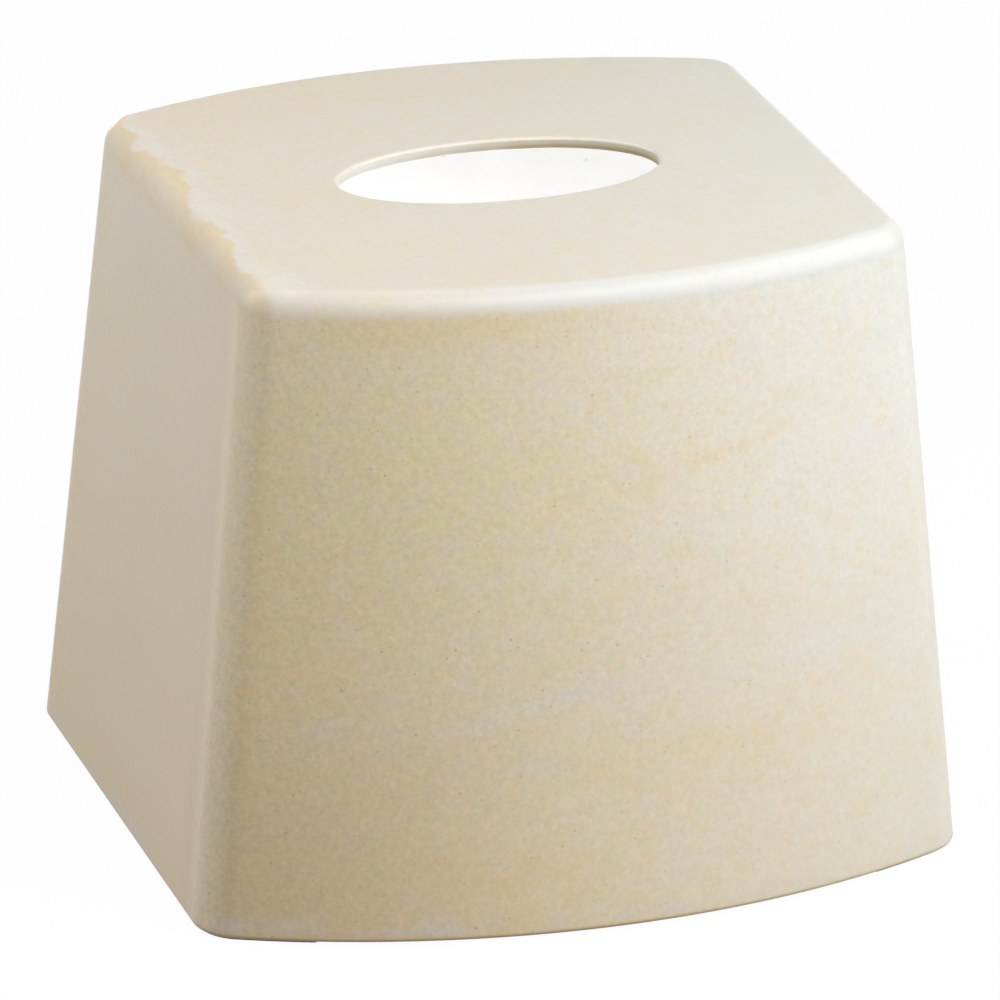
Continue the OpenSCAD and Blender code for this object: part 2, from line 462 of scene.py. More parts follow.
def make_pad(node):
    """One pad, as rings of its outline from the middle of its underside, out round its
    lower edge, up its side and in again over its top, mirrored into its own corner."""
    low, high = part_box(node)
    under = [(PAD_HALF_W, low.z), (PAD_EDGE_R, low.z)]
    under += [(left, low.z + gone) for left, gone in zip(*turn(PAD_EDGE_STEPS, PAD_EDGE_R))]
    over = [(drawn_in, high.z + low.z - z) for drawn_in, z in reversed(under)]
    rings = np.stack([pad_ring(drawn_in, z) for drawn_in, z in under + over])
    rings = rings * np.array([-1 if "left" in node else 1, -1 if "rear" in node else 1, 1])
    made = mesh_from_rings("soft_" + node, rings)
    tidy_seams(made)
    return made


PAD_NODES = ["pad_front_left", "pad_front_right", "pad_rear_left", "pad_rear_right"]
pads = {node: make_pad(node) for node in PAD_NODES}
print("pads:", ", ".join(made.name for made in pads.values()))

# %% [markdown]
# ## Helpers for finishes
# A finish is a small graph of nodes. Wiring it by hand in the shader editor is fine for one
# material, but a script needs short helpers: one that adds a node and sets its sockets, a few
# for sums, one that mixes two colours, and one that turns a value into a soft step. The ends
# of a step are a pair, where it is 0 and where it is 1, and the first may be the higher one.

# %% Add nodes to any tree


def put(tree, socket, value):
    """Links a socket to another one, or sets its own value."""
    if isinstance(value, bpy.types.NodeSocket):
        tree.links.new(value, socket)
    else:
        socket.default_value = value


def add_node(tree, kind, sockets=None, **settings):
    """A new node with its settings and its input sockets given by name or number."""
    made = tree.nodes.new(kind)
    for key, value in settings.items():
        setattr(made, key, value)
    for key, value in (sockets or {}).items():
        put(tree, made.inputs[key], value)
    return made


def mix_tones(tree, share, first, second, blend="MIX"):
    """Two colours mixed by a share."""
    sockets = {0: share, 6: first, 7: second}
    return add_node(tree, "ShaderNodeMix", sockets, data_type="RGBA", blend_type=blend).outputs[2]


# %% Add nodes to a finish


class Finish:
    """A material whose nodes are added one by one, with links given as sockets."""

    def __init__(self, name):
        self.material = bpy.data.materials.new(name)
        self.material.use_nodes = True
        self.tree = self.material.node_tree
        self.shader = self.tree.nodes["Principled BSDF"]
        self.object_place = self.add("ShaderNodeTexCoord").outputs["Object"]

    def add(self, kind, sockets=None, **settings):
        """A new node of this finish."""
        return add_node(self.tree, kind, sockets, **settings)

    def moved(self, stretch=(1, 1, 1), tilt=(0, 0, 0), shift=(0, 0, 0)):
        """Object coordinates, stretched, tilted and then shifted."""
        sockets = {"Location": shift, "Rotation": tilt, "Scale": stretch}
        return self.add("ShaderNodeMapping", {"Vector": self.object_place, **sockets}).outputs[0]

    def noise(self, size, detail=2.0, rough=0.5, place=None, distortion=0.0):
        """The node of a soft noise, whose patches are about size across, in metres."""
        return self.add("ShaderNodeTexNoise", {
            "Vector": place or self.object_place, "Scale": 1 / size, "Detail": detail,
            "Roughness": rough, "Distortion": distortion,
        })

    def clouds(self, *facts, **more):
        """The value of such a noise, between 0 and 1."""
        return self.noise(*facts, **more).outputs["Fac"]

    def cells(self, size):
        """Grains about size apart: the distance to the nearest grain's middle, as a share
        of the size, and three chance values for each grain."""
        made = self.add("ShaderNodeTexVoronoi", {"Vector": self.object_place, "Scale": 1 / size})
        return made.outputs["Distance"], self.parts(made.outputs["Color"])

    def parts(self, colour):
        """The red, green and blue of a colour or the x, y and z of a vector."""
        return self.add("ShaderNodeSeparateXYZ", {0: colour}).outputs

    def maths(self, operation, a, b=0.0, c=0.0, clamp=False):
        """One sum on two or three values."""
        made = self.add("ShaderNodeMath", {0: a, 1: b, 2: c}, operation=operation, use_clamp=clamp)
        return made.outputs[0]

    def plus(self, first, second):
        """Two values added."""
        return self.maths("ADD", first, second)

    def times(self, first, *others):
        """Two or more values multiplied."""
        for other in others:
            first = self.maths("MULTIPLY", first, other)
        return first

    def scaled(self, value, gain, base=0.0):
        """A value times a gain, plus a base."""
        return self.maths("MULTIPLY_ADD", value, gain, base)

    def varied(self, value, gain, base):
        """A base, plus a gain times how far a value is above a half."""
        return self.scaled(self.maths("SUBTRACT", value, 0.5), gain, base)

    def eased(self, value, loss):
        """1 less a loss times a value."""
        return self.scaled(value, -loss, 1.0)

    def step(self, value, ends):
        """0 at the first end, 1 at the second, and a smooth rise between."""
        sockets = {"Value": value, "From Min": ends[0], "From Max": ends[1]}
        return self.add("ShaderNodeMapRange", sockets, interpolation_type="SMOOTHSTEP").outputs[0]

    def mix(self, share, first, second, blend="MIX"):
        """Two colours mixed by a share."""
        return mix_tones(self.tree, share, first, second, blend)

    def dress(self, colour, roughness, height, depth, strength):
        """Gives the shader its colour, its roughness and a bump of a depth in metres."""
        sockets = {"Height": height, "Distance": depth, "Strength": strength}
        normal = self.add("ShaderNodeBump", sockets).outputs["Normal"]
        for name, value in [("Base Color", colour), ("Roughness", roughness), ("Normal", normal)]:
            put(self.tree, self.shader.inputs[name], value)
        return self.material


# %% [markdown]
# ## The show side: cream sandstone
# The finish copies a fine sandstone, and a picture of stone would give one fixed patch of
# it. So each thing that the eye can tell apart is a pattern of its own on object
# coordinates, and each has a short function: a slow drift from warm straw to pale chalk,
# flecks of four minerals, a few streaks, tint, painted highlights and painted shade along
# the edges, sand grains, and sparse dark specks. All of them are faint, because a good
# imitation never shouts.

# %% Colours of the stone
STRAW = (0.742, 0.555, 0.290, 1)
CHALK = (0.730, 0.750, 0.722, 1)
SUN_YELLOW = (0.76, 0.68, 0.26, 1)
OCHRE = (0.76, 0.54, 0.25, 1)
OLIVE = (0.66, 0.64, 0.36, 1)
ROSE = (0.77, 0.60, 0.50, 1)
LILAC = (0.68, 0.645, 0.67, 1)
BLUSH = (0.74, 0.62, 0.59, 1)
SPECK = (0.30, 0.20, 0.09, 1)
EDGE_TAN = (0.74, 0.565, 0.32, 1)
WALL_WARM = (0.90, 0.68, 0.48, 1)
# The paler strip on the upright corner: a painted highlight.
CORNER_HIGHLIGHT = (0.95, 0.84, 0.62, 1)
EDGE_PALE = (0.76, 0.74, 0.68, 1)
# A pale neutral: the colour of the pale patch, and on the front roll a painted highlight.
PALE_AND_ROLL_HIGHLIGHT = (0.65, 0.66, 0.65, 1)
# A painted highlight: the paler greyish band above the rim.
RIM_HIGHLIGHT_GREY = (0.66, 0.62, 0.58, 1)
# A painted contact shadow at the rim's foot.
RIM_SHADOW_DARK = (0.30, 0.22, 0.13, 1)
# Painted shade: darker and warmer low on the left of the front.
LOW_SHADE_TAN = (0.60, 0.47, 0.30, 1)
SLOT_GREY = (0.56, 0.56, 0.52, 1)
# Painted shade on the wall of the slot.
SLOT_SHADE_BROWN = (0.27, 0.205, 0.10, 1)

# %% [markdown]
# ## Places on the shell
# Every pattern asks where it is: how far across, how high, whether on a wall, on the top or on
# a bowed side, and how far in from an edge. A painter would mask these areas by hand. Here
# each is a sum on the same sizes that drew the outline, so the masks stay on their edges when
# a size changes.

# %% Masks from the sizes of the shell
WALLS_AT, TOP_AT = (0.975, 0.955), (0.9, 0.1)
FRONT_AT, BACK_AT = mm(-40, -60), mm(40, 60)
CLOUD_SIZE, CLOUD_SHIFT = 38 * MM, (0.31, 0.12, 0.2)
FRAY_SIZE, FRAY_DEPTH, WARP_DEPTH = mm(5, 4, 9)
BOW_CENTRE_Y = BOW_R - RIM_HALF_D
DRAWN_PER_HEIGHT = -LEAN / SHELL_H


class Place:
    """Values for one finish that say where on the shell a point lies, as sockets."""

    def __init__(self, f):
        self.x, self.y, self.z = f.parts(f.object_place)[:3]
        self.across = f.maths("DIVIDE", self.x, RIM_HALF_W)
        self.height = f.maths("DIVIDE", self.z, TOP_Z)
        self.walls = f.step(self.height, WALLS_AT)
        self.top = f.step(self.walls, TOP_AT)
        self.front = f.times(f.step(self.y, FRONT_AT), self.walls)
        self.bowed = f.plus(self.front, f.times(f.step(self.y, BACK_AT), self.walls))
        self.cloud = f.clouds(CLOUD_SIZE, 3, 0.55, f.moved(shift=CLOUD_SHIFT))
        self.fray = f.scaled(f.clouds(FRAY_SIZE, 3, 0.6), FRAY_DEPTH, -FRAY_DEPTH / 2)
        self.bent = f.plus(f.scaled(self.cloud, WARP_DEPTH, -WARP_DEPTH / 2), self.fray)

    def in_from_left(self, f):
        """Distance in from the left end wall, which leans in by LEAN over the height."""
        return f.plus(self.x, f.scaled(self.z, DRAWN_PER_HEIGHT, RIM_HALF_W))

    def in_from_front(self, f):
        """Distance in from the bowed front wall: the bow's radius at this height less the
        distance from the bow's centre."""
        y = f.maths("SUBTRACT", self.y, BOW_CENTRE_Y)
        reach = f.maths("SQRT", f.scaled(self.x, self.x, f.times(y, y)))
        return f.maths("SUBTRACT", f.scaled(self.z, DRAWN_PER_HEIGHT, BOW_R), reach)


# %% [markdown]
# ## Drift and flecks
# Sandstone changes colour in three sizes at once: over a hand's width, over a finger's width
# along its beds, and from fleck to fleck. Two coloured noises with independent channels give
# four minerals: ochre against lilac, and olive against rose. A colour ramp on one noise
# would tie them together, and the stone would look like a map.

# %% Sizes of the slow drift
CHALK_BASE, CHALK_UP, CHALK_FRONT, CHALK_TOP = 0.38, 0.33, -0.05, 0.03
CHALK_RIGHT_END, CHALK_BACK_OF_TOP = -0.30, -0.09
CHALK_ACROSS, CHALK_ACROSS_WALLS, CHALK_ACROSS_FRONT = 0.15, 0.075, 0.175
CHALK_SWING = 0.20
RIGHT_END_X, RIGHT_END_Y = mm(45, 76), mm(-58, 40)
BACK_OF_TOP_AT = mm(25, 65)
BED_SIZE, BED_STRETCH, BED_TILT = 15 * MM, (0.22, 0.22, 1), math.radians(7)
MOTTLE_SIZE, MOTTLE_STRETCH = 7 * MM, (0.7, 0.7, 1)


def drift(f, at):
    """The share of chalk: rises to the right and upwards, most on the front, and falls back
    on the right end wall and at the back of the top, with clouds, level beds and a
    finger-wide mottle over it all."""
    slope = f.scaled(at.walls, CHALK_ACROSS_WALLS, CHALK_ACROSS)
    slope = f.scaled(at.front, CHALK_ACROSS_FRONT, slope)
    share = f.scaled(at.across, slope, f.scaled(at.front, CHALK_FRONT, CHALK_BASE))
    share = f.scaled(at.height, CHALK_UP, share)
    right_end = f.times(f.step(at.x, RIGHT_END_X), f.step(at.y, RIGHT_END_Y), at.walls)
    share = f.scaled(right_end, CHALK_RIGHT_END, share)
    share = f.scaled(at.top, CHALK_TOP, share)
    back_of_top = f.times(at.top, f.step(at.y, BACK_OF_TOP_AT))
    share = f.scaled(back_of_top, CHALK_BACK_OF_TOP, share)
    beds = f.clouds(BED_SIZE, 4, 0.6, f.moved(BED_STRETCH, (0, BED_TILT, 0)), distortion=0.5)
    mottle = f.clouds(MOTTLE_SIZE, 3, 0.6, f.moved(MOTTLE_STRETCH))
    for pattern in (at.cloud, beds, mottle):
        share = f.varied(pattern, CHALK_SWING, share)
    return f.maths("ADD", share, 0, clamp=True), mottle


# %% The mineral flecks
FLECKS = [
    # size in mm, sideways stretch, and the shares of ochre, lilac, olive and rose
    (7.5, 0.62, 0.03, 0.03, 0.09, 0.06),
    (3.1, 0.66, 0.21, 0.18, 0.34, 0.23),
    (1.5, 0.80, 0.12, 0.09, 0.27, 0.18),
]
FLECK_TILT = math.radians(6)
WHERE_HIGH, WHERE_LOW = (0.5, 0.70), (0.5, 0.30)


def flecks(f, colour, depth):
    """Ochre where the first channel of a noise is high and lilac where it is low, olive and
    rose likewise by the second channel, at three sizes."""
    for size, stretch, ochre, lilac, olive, rose in FLECKS:
        place = f.moved((stretch, stretch, 1), (0, FLECK_TILT, 0))
        made = f.noise(size * MM, rough=0.6, place=place)
        first, second = f.parts(made.outputs["Color"])[:2]
        for channel, ends, tint, share in [
            (first, WHERE_HIGH, OCHRE, ochre), (first, WHERE_LOW, LILAC, lilac),
            (second, WHERE_HIGH, OLIVE, olive), (second, WHERE_LOW, ROSE, rose),
        ]:
            amount = f.times(f.step(channel, ends), f.times(depth, share))
            colour = f.mix(amount, colour, tint)
    return colour


# %% [markdown]
# ## Streaks and patches
# A mineral streak is a thin band that climbs slightly across the front, thins out at both
# ends and is broken up by noise. Painting one by hand would be quick, but a sum on the
# coordinates holds at any distance, and one short list moves them all. Made wider, the same
# band is a rusty stain, and made very wide it is a yellow or a pale patch.

# %% Streaks across the front
STREAKS = [
    # middle x, middle z, climb, half length, half width (mm) and strength
    (-12, 50.8, 0.20, 20, 1.1, 0.55),
    (-14, 49, 0.16, 62, 3.0, 0.18),
    (36, 52, 0.10, 40, 2.2, 0.28),
    (-57, 46, 0.10, 9, 2.4, 0.34),
    (-17, 37, -0.06, 9, 1.3, 0.38),
    (58, 92, 0.22, 24, 4.0, 0.34),
    (20, 84, 0.20, 26, 3.4, 0.26),
]
RUST_STREAKS = [
    (-16, 12.5, 0.0, 18, 6.0, 0.30),
    (24, 98, 0.24, 22, 1.6, 0.34),
    (40, 107, 0.02, 16, 2.0, 0.12),
    (30, 36, 0.06, 30, 5.0, 0.24),
    (14, 118, 0.05, 20, 3.0, 0.12),
]
YELLOW_PATCHES = [(-32, 99, 0.0, 42, 30, 0.30)]
PALE_PATCHES = [(52, 119, 0.0, 40, 16, 0.34)]
STREAK_BEND = 0.4
BREAK_SIZE, BREAK_AT = 3.5 * MM, (0.32, 0.62)


def streak(f, x, z, facts):
    """A band about a sloping line: the share falls with the squared distance from the line
    over the squared half width, and with the squared place along it."""
    middle_x, middle_z, climb, half_length, half_width, strength = facts
    along = f.maths("SUBTRACT", x, middle_x * MM)
    line = f.scaled(along, -climb, f.maths("SUBTRACT", z, middle_z * MM))
    across = f.maths("DIVIDE", line, half_width * MM)
    ends = f.maths("DIVIDE", along, half_length * MM)
    both = f.scaled(across, across, f.times(ends, ends))
    return f.times(f.maths("EXPONENT", f.times(both, -1)), strength)


def streaks(f, at, facts):
    """The strongest of several streaks at each place on the front, broken by noise."""
    z = f.scaled(at.bent, STREAK_BEND, at.z)
    most = streak(f, at.x, z, facts[0])
    for one in facts[1:]:
        most = f.maths("MAXIMUM", most, streak(f, at.x, z, one))
    return f.times(most, f.step(f.clouds(BREAK_SIZE, 3, 0.65), BREAK_AT), at.front)


# %% [markdown]
# ## Tint, painted highlights and painted shade along the edges
# Tint and sealer are wiped on by hand, so they gather where the cloth turns. Along the left
# roll the tint is tan, with a wavy inner edge and a paler fringe inside that, and the near
# corner is rubbed pale. The front roll is tinted pale and neutral, a painted highlight that
# whitens the real one, and under its left half the tint has run together. Low on the left
# the wall is darker and warmer, painted shade where the light falls off. Above the rim a
# paler greyish band is a painted highlight, the rim is tan with painted warm light bounced
# from the floor, and it is dark where it meets the table, a painted contact shadow. The
# upright corner is a little paler, a painted highlight of the lamps on the left, and the end
# wall is warmer towards it. Straight bands would look printed, so noise frays each.

# %% Ends of the bands of tint and of painted light and shade


def below_top(*drops):
    """Heights that lie so many millimetres below the top."""
    return tuple(TOP_Z - drop * MM for drop in drops)


def above_rim(*rises):
    """Heights that lie so many millimetres above the rim."""
    return tuple(RIM_Z + rise * MM for rise in rises)


WAVE_SIZE, WAVE_DEPTH, WAVE_SHIFT = 10 * MM, 13 * MM, (0.4, 0.1, 0)
LEFT_BEND, LOW_BEND, ROLL_FRAY, FRONT_FRAY = 0.4, 1.2, 0.5, 0.4
ROLL_AT, TAN_AT = below_top(7, 4), mm(12.5, 9.9)
TAN_FULL_AT, TAN_EDGE_SHARE = mm(6, 10), 0.4
NEAR_FRONT, NEAR_LEFT, NEAR_LOSS = mm(24, 12), mm(2.5, 5.5), 0.9
FRINGE_FROM, FRINGE_TO, FRINGE_NEAR = mm(10.6, 11.8), mm(16.5, 12.2), mm(22, 14)
FRINGE_CLOUDS, FRINGE_Z = (0.36, 0.60), below_top(3, 0.6)
# Ends of the painted highlight on the front roll, a pale neutral tint over its real highlight.
ROLL_HIGHLIGHT_FRONT, ROLL_HIGHLIGHT_Z, ROLL_HIGHLIGHT_LEFT = mm(4.4, 1.8), below_top(4.8, 2.8), mm(22, 62)
ROLL_HIGHLIGHT_WIDER_X, ROLL_HIGHLIGHT_WIDER = mm(-10, 30), 1.6 * MM
RUN_Z, RUN_X = below_top(16, 6), mm(26, -30)
RUN_END_X, RUN_END_LOSS = mm(-42, -62), 0.5
# Ends of the painted highlight above the rim.
RIM_HIGHLIGHT_FROM, RIM_HIGHLIGHT_TO = above_rim(1.0, 1.8), above_rim(6.2, 2.8)
RIM_HIGHLIGHT_SIZE, RIM_HIGHLIGHT_CLOUDS = 9 * MM, (0.40, 0.62)
FADING_X, FADING_LOSS = mm(-10, 75), 0.62
# Heights of the painted bounce light on the rim and of its painted contact shadow.
RIM_BOUNCE_Z, RIM_SHADOW_Z = above_rim(1.7, 0.9), above_rim(1.25, 0.15)
# Ends of the painted shade low on the left.
LOW_LEFT_X, LOW_LEFT_Z = mm(-5, -80), mm(64, 14)
END_LEFT, END_FRONT = mm(2.5, 0.5), mm(70, 10)
# Ends of the painted highlight on the upright corner.
CORNER_LEFT, CORNER_FRONT = mm(4.8, 1.3), mm(12, 5)

# %% Masks of the left roll


def left_roll(f, at, left, front):
    """The tan of the left roll and its pale fringe: steps on the distance in from the left,
    frayed by noise, which both give way to a pale patch at the near corner."""
    wavy = f.clouds(WAVE_SIZE, place=f.moved(shift=WAVE_SHIFT))
    frayed = f.scaled(wavy, WAVE_DEPTH, f.scaled(at.bent, LEFT_BEND, left))
    roll = f.step(f.scaled(at.fray, ROLL_FRAY, at.z), ROLL_AT)
    full = f.scaled(f.step(frayed, TAN_FULL_AT), 1 - TAN_EDGE_SHARE, TAN_EDGE_SHARE)
    near = f.times(f.step(front, NEAR_FRONT), f.step(left, NEAR_LEFT))
    tan = f.times(roll, f.step(frayed, TAN_AT), full, f.eased(near, NEAR_LOSS))
    fringe = f.times(f.step(frayed, FRINGE_FROM), f.step(frayed, FRINGE_TO))
    fringe = f.times(fringe, f.step(at.cloud, FRINGE_CLOUDS))
    fringe = f.maths("MAXIMUM", fringe, f.times(near, f.step(frayed, FRINGE_NEAR)))
    return tan, f.times(fringe, f.step(at.z, FRINGE_Z))


# %% Masks of the front roll and the rim


def front_roll(f, at, left, front, below):
    """The front roll's painted highlight, a pale neutral tint that whitens the real one, wider
    towards the right, and the tint run together below it.
    """
    frayed_front = f.scaled(at.fray, FRONT_FRAY, front)
    reach = f.scaled(f.step(at.x, ROLL_HIGHLIGHT_WIDER_X), ROLL_HIGHLIGHT_WIDER, at.z)
    roll_highlight = f.times(f.step(frayed_front, ROLL_HIGHLIGHT_FRONT), f.step(reach, ROLL_HIGHLIGHT_Z))
    roll_highlight = f.times(roll_highlight, f.step(left, ROLL_HIGHLIGHT_LEFT))
    run = f.times(f.step(below, RUN_Z), at.front, f.step(at.x, RUN_X))
    return roll_highlight, f.times(run, f.eased(f.step(at.x, RUN_END_X), RUN_END_LOSS))


def along_rim(f, at):
    """A painted highlight in a paler greyish band above the rim, painted warm bounce light in
    tan on the rim's rounding, and a painted contact shadow at its dark foot. All three fade
    towards the right."""
    low = f.scaled(at.fray, ROLL_FRAY, at.z)
    fading = f.eased(f.step(at.x, FADING_X), FADING_LOSS)
    rim_highlight = f.times(f.step(low, RIM_HIGHLIGHT_FROM), f.step(low, RIM_HIGHLIGHT_TO))
    rim_highlight = f.times(rim_highlight, f.step(f.clouds(RIM_HIGHLIGHT_SIZE, 3, 0.6), RIM_HIGHLIGHT_CLOUDS), fading)
    return rim_highlight, f.times(f.step(at.z, RIM_BOUNCE_Z), fading), f.times(f.step(at.z, RIM_SHADOW_Z), fading)


# %% Lay the bands of tint and of painted light and shade over the stone


def edge_tints(f, at, colour):
    """Masks on the distances in from the left and the front and on the height, mixed over
    the stone one after the other, each with its own strength."""
    left, front = at.in_from_left(f), at.in_from_front(f)
    below = f.scaled(at.bent, LOW_BEND, at.z)
    # Painted shade, darker low on the left of the front where the light falls off.
    low_left_shade = f.times(f.step(at.x, LOW_LEFT_X), f.step(below, LOW_LEFT_Z), at.front)
    end_wall = f.times(f.step(left, END_LEFT), f.step(front, END_FRONT), at.walls)
    # A painted highlight: the upright corner paler where the lamps on the left glance off it.
    corner = f.times(f.step(left, CORNER_LEFT), f.step(front, CORNER_FRONT), at.walls)
    tan, fringe = left_roll(f, at, left, front)
    # A painted highlight on the front roll, and the tint run together below it.
    roll_highlight, run = front_roll(f, at, left, front, below)
    # Along the rim: a painted highlight, painted bounce light in tan, and a painted contact shadow.
    rim_highlight, rim_bounce, rim_shadow = along_rim(f, at)
    # Several of these bands are painted light: the highlights on the front roll and the upright
    # corner, the shade low on the left, and the highlight, bounce light and contact shadow along
    # the rim.
    for share, strength, tint in [
        (low_left_shade, 0.60, LOW_SHADE_TAN), (end_wall, 0.24, WALL_WARM), (corner, 0.42, CORNER_HIGHLIGHT),
        (run, 0.30, OCHRE), (tan, 0.60, EDGE_TAN), (fringe, 0.48, EDGE_PALE),
        (roll_highlight, 0.75, PALE_AND_ROLL_HIGHLIGHT), (rim_highlight, 0.50, RIM_HIGHLIGHT_GREY), (rim_bounce, 0.60, EDGE_TAN),
        (rim_shadow, 0.80, RIM_SHADOW_DARK),
    ]:
        colour = f.mix(f.times(share, strength), colour, tint)
    return colour


# %% The wall of the slot
OVAL_AT = (1.02, 0.99)
IN_SLOT_Z, LOW_SLOT_Z = below_top(0.3, 0.9), below_top(1.1, 2.0)
SLOT_RIGHT_X, SLOT_FRAY = mm(-30, 28), 3
GREY_LEFT, GREY_RIGHT = 0.85, 0.35
# Amounts of the grey and of the painted shade in the slot.
BROWN_HIGH, BROWN_LOW_RIGHT, BROWN_LOW = 0.60, 0.28, 0.12


def slot_tint(f, at, colour):
    """Inside the oval, where x and y over their half sizes, squared and added, are under 1,
    the wall of the slot is greyish at its left end and brown at its right, most of all low
    down: the brown is painted shade, where the slot's own wall keeps the light off."""
    u = f.maths("DIVIDE", at.x, SLOT_HALF_W + SLOT_LIP_R / 2)
    v = f.maths("DIVIDE", at.y, SLOT_HALF_D + SLOT_LIP_R / 2)
    inside = f.step(f.scaled(u, u, f.times(v, v)), OVAL_AT)
    inside = f.times(inside, f.step(at.z, IN_SLOT_Z))
    right = f.step(f.scaled(at.fray, SLOT_FRAY, at.x), SLOT_RIGHT_X)
    low = f.step(at.z, LOW_SLOT_Z)
    grey = f.times(inside, f.scaled(right, GREY_RIGHT - GREY_LEFT, GREY_LEFT))
    slot_shade = f.times(right, f.scaled(low, BROWN_LOW_RIGHT, BROWN_HIGH))
    slot_shade = f.times(inside, f.scaled(low, BROWN_LOW, slot_shade))
    return f.mix(slot_shade, f.mix(grey, colour, SLOT_GREY), SLOT_SHADE_BROWN)


# %% [markdown]
# ## Grains and specks
# Sand grains are half a millimetre across, each a little lighter or darker than the next:
# that is what cells are for, with a chance value for every cell. The dark specks are cells
# too, but only a few are chosen, and most of those stay faint.

# %% Sand grains
GRAIN_SIZE, GRIT_SIZE, SAND_SIZE = mm(0.55, 0.9, 1.45)
SAND_SHIFT = (0.02, 0.05, 0.01)
GRAIN_GAIN, SAND_GAIN = 0.06, 0.25


def grains(f, colour, depth):
    """The stone times a gain near 1: a chance value for each grain, and two fine noises."""
    chance = f.cells(GRAIN_SIZE)[1][0]
    grain = f.plus(chance, f.clouds(GRIT_SIZE))
    sand = f.clouds(SAND_SIZE, rough=0.6, place=f.moved(shift=SAND_SHIFT))
    shade = f.scaled(f.maths("SUBTRACT", grain, 1.0), GRAIN_GAIN)
    shade = f.scaled(f.varied(sand, SAND_GAIN, shade), depth, 1.0)
    gain = f.add("ShaderNodeCombineXYZ", {0: shade, 1: shade, 2: shade}).outputs[0]
    return f.mix(1.0, colour, gain, "MULTIPLY"), grain


# %% Dark specks
SPECK_CELL = 1.6 * MM
SPECK_LEAST, SPECK_RANGE = 0.08, 0.12
SPECK_SOFT_AT, SPECK_CHOSEN_AT = (0.06, -0.05), (0.60, 0.66)
SPECK_FAINT, SPECK_STRONG, SPECK_RARITY = 0.14, 0.30, 3


def specks(f, colour, depth):
    """Dark dots: near the middle of a chosen cell, with a chance size and strength."""
    far, chances = f.cells(SPECK_CELL)
    size = f.scaled(chances[1], SPECK_RANGE, SPECK_LEAST)
    spot = f.step(f.maths("SUBTRACT", far, size), SPECK_SOFT_AT)
    spot = f.times(spot, f.step(chances[0], SPECK_CHOSEN_AT))
    rare = f.maths("POWER", chances[2], SPECK_RARITY)
    strength = f.scaled(rare, SPECK_STRONG, SPECK_FAINT)
    return f.mix(f.times(spot, f.times(strength, depth)), colour, SPECK)


# %% [markdown]
# ## The whole sandstone
# The patterns go over one another in the order in which real stone would get them: its own
# colours, then streaks, then tint, with the painted highlights and shade laid in among the
# tint, and the grains over all. Gloss and bump come last. The flat of the top is duller than
# the rest, because hands and tissues rub it, and a little pinker towards the left.

# %% The sandstone finish
DEPTH_TOP, DEPTH_WALLS, DEPTH_BOWED = 0.60, -0.25, 0.65
BLUSH_X, BLUSH_CLOUDS, BLUSH_SHARE = mm(40, -50), (0.2, 0.6), 0.20
CALM_X, CALM_LOSS = mm(0, 75), 0.35
SANDY_BASE, SANDY_BOWED = 0.60, 0.33
SANDY_MIDDLE, SANDY_ACROSS = 0.88, -0.45
SEALED_ROUGH, MOTTLE_ROUGH, DULL_TOP = 0.34, 0.10, 0.30
FLAT_TOP_Z = below_top(0.30, 0.08)
SEALER_IOR = 1.52
GRAIN_HEIGHT, MOTTLE_HEIGHT = 0.3, 0.5
STONE_BUMP, STONE_BUMP_STRENGTH = 0.03 * MM, 0.35


def sandstone():
    """Cream sandstone, satin sealed: its patterns one over the other, then gloss and bump."""
    f = Finish("cream_sandstone")
    at = Place(f)
    depth = f.scaled(at.bowed, DEPTH_BOWED, f.scaled(at.walls, DEPTH_WALLS, DEPTH_TOP))
    chalk_share, mottle = drift(f, at)
    colour = f.mix(chalk_share, STRAW, CHALK)
    blush = f.times(at.top, f.step(at.x, BLUSH_X), f.step(at.cloud, BLUSH_CLOUDS), BLUSH_SHARE)
    colour = f.mix(blush, colour, BLUSH)
    colour = flecks(f, colour, f.times(depth, f.eased(f.step(at.x, CALM_X), CALM_LOSS)))
    for facts, tint in [
        (YELLOW_PATCHES, SUN_YELLOW), (PALE_PATCHES, PALE_AND_ROLL_HIGHLIGHT),
        (STREAKS, LILAC), (RUST_STREAKS, OCHRE),
    ]:
        colour = f.mix(streaks(f, at, facts), colour, tint)
    colour = slot_tint(f, at, edge_tints(f, at, colour))
    sandy = f.times(depth, f.scaled(at.bowed, SANDY_BOWED, SANDY_BASE))
    sandy = f.times(sandy, f.scaled(at.across, SANDY_ACROSS, SANDY_MIDDLE))
    colour, grain = grains(f, colour, sandy)
    colour = specks(f, colour, sandy)
    rough = f.scaled(mottle, MOTTLE_ROUGH, SEALED_ROUGH)
    rough = f.scaled(f.step(at.z, FLAT_TOP_Z), DULL_TOP, rough)
    height = f.scaled(grain, GRAIN_HEIGHT, f.times(mottle, MOTTLE_HEIGHT))
    f.shader.inputs["IOR"].default_value = SEALER_IOR
    return f.dress(colour, rough, height, STONE_BUMP, STONE_BUMP_STRENGTH)


# %% [markdown]
# ## The inside of the casting
# Inside, nothing was sealed or tinted: it is the raw mix, a little paler, dull, and pitted
# where air came to the surface. It shows through the slot and from underneath.

# %% The raw inside finish


def srgb(red, green, blue):
    """A colour picked on a screen, 0 to 255, as the linear colour that shaders take."""
    shares = np.array([red, green, blue]) / 255
    linear = np.where(shares <= 0.04045, shares / 12.92, ((shares + 0.055) / 1.055) ** 2.4)
    return (*[float(v) for v in linear], 1.0)


